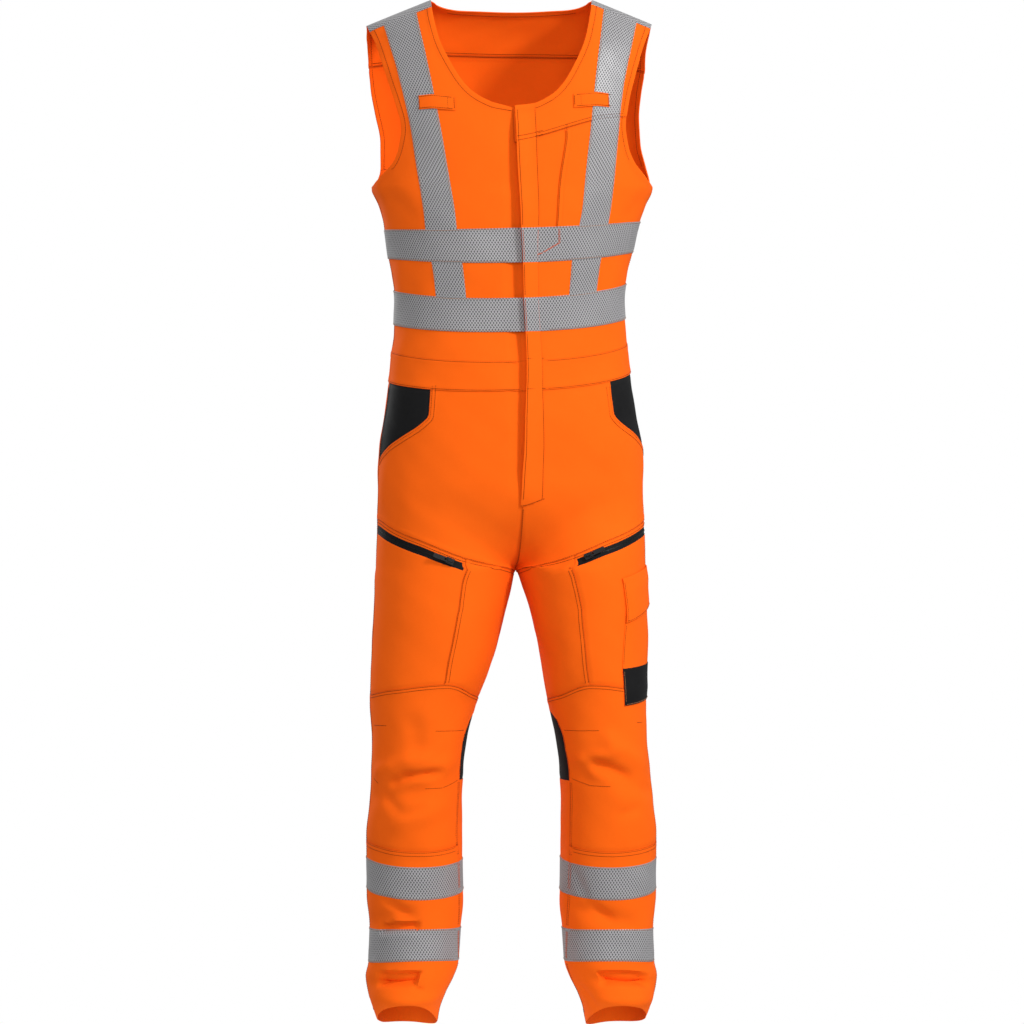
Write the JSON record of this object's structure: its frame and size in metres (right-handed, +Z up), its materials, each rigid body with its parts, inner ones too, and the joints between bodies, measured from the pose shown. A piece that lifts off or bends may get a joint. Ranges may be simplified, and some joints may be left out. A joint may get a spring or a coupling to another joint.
{
  "type": "sleeveless one-piece high-visibility work coverall",
  "caption": "Sleeveless one-piece work coverall in orange cloth with grey reflective tape, black pocket and knee insets, open at neck, armholes and hems.",
  "frame": {"origin": "midway between the shoulders, 33 mm below the neck ends of the shoulder seams, where the wearer's shoulders carry the garment", "axes": "+Z up the body, -Y to the garment's front, +X to the wearer's left"},
  "size_m": [0.4303, 0.2625, 1.5252],
  "materials": {
    "orange_cloth": "matt fluorescent orange woven cloth",
    "black_cloth": "matt black woven cloth",
    "tape": "grey reflective tape with a fine slanted grid",
    "zip_hardware": "black, slightly glossy"
  },
  "bodies": {
    "garment": {"front_bodice_right": "orange_cloth", "front_bodice_left": "orange_cloth", "front_yoke_left": "orange_cloth", "back_bodice": "orange_cloth", "back_yoke": "orange_cloth", "waistband_front_right": "orange_cloth", "waistband_front_left": "orange_cloth", "waistband_back": "orange_cloth", "hip_front_right": "orange_cloth", "hip_pocket_right": "black_cloth", "thigh_inner_right": "orange_cloth", "thigh_outer_right": "orange_cloth", "knee_right": "orange_cloth", "knee_gusset_right": "black_cloth", "shin_right": "orange_cloth", "back_leg_right": "orange_cloth", "leg_tape_upper_right": "tape", "leg_tape_lower_right": "tape", "hip_front_left": "orange_cloth", "hip_pocket_left": "black_cloth", "thigh_inner_left": "orange_cloth", "thigh_outer_left": "orange_cloth", "knee_left": "orange_cloth", "knee_gusset_left": "black_cloth", "shin_left": "orange_cloth", "back_leg_left": "orange_cloth", "leg_tape_upper_left": "tape", "leg_tape_lower_left": "tape", "brace_tape_front_right": "tape", "brace_tape_back_right": "tape", "shoulder_tape_right": "tape", "radio_loop_right": "orange_cloth", "brace_tape_front_left": "tape", "brace_tape_back_left": "tape", "shoulder_tape_left": "tape", "radio_loop_left": "orange_cloth", "chest_tape_upper": "tape", "placket_tape_upper": "tape", "chest_tape_lower": "tape", "placket_tape_lower": "tape", "placket": "orange_cloth", "chest_pocket_welt": "orange_cloth", "cargo_pocket": "orange_cloth", "cargo_flap": "orange_cloth", "cargo_patch": "black_cloth", "thigh_zip_right": "black_cloth", "zip_slider_right": "zip_hardware", "thigh_zip_left": "black_cloth", "zip_slider_left": "zip_hardware"},
    "pull_right": {"zip_pull_right": "zip_hardware"},
    "pull_left": {"zip_pull_left": "zip_hardware"}
  },
  "joints": [
    {"name": "pull_right_swing", "type": "hinge", "parent": "garment", "child": "pull_right", "pos_m": [-0.0906, -0.10698, -0.79503], "axis": [0.3579, 0.0752, 0.9307], "range_deg": [0, 165]},
    {"name": "pull_left_swing", "type": "hinge", "parent": "garment", "child": "pull_left", "pos_m": [0.11389, -0.09972, -0.78704], "axis": [0.4318, -0.3368, -0.8367], "range_deg": [0, 165]}
  ]
}
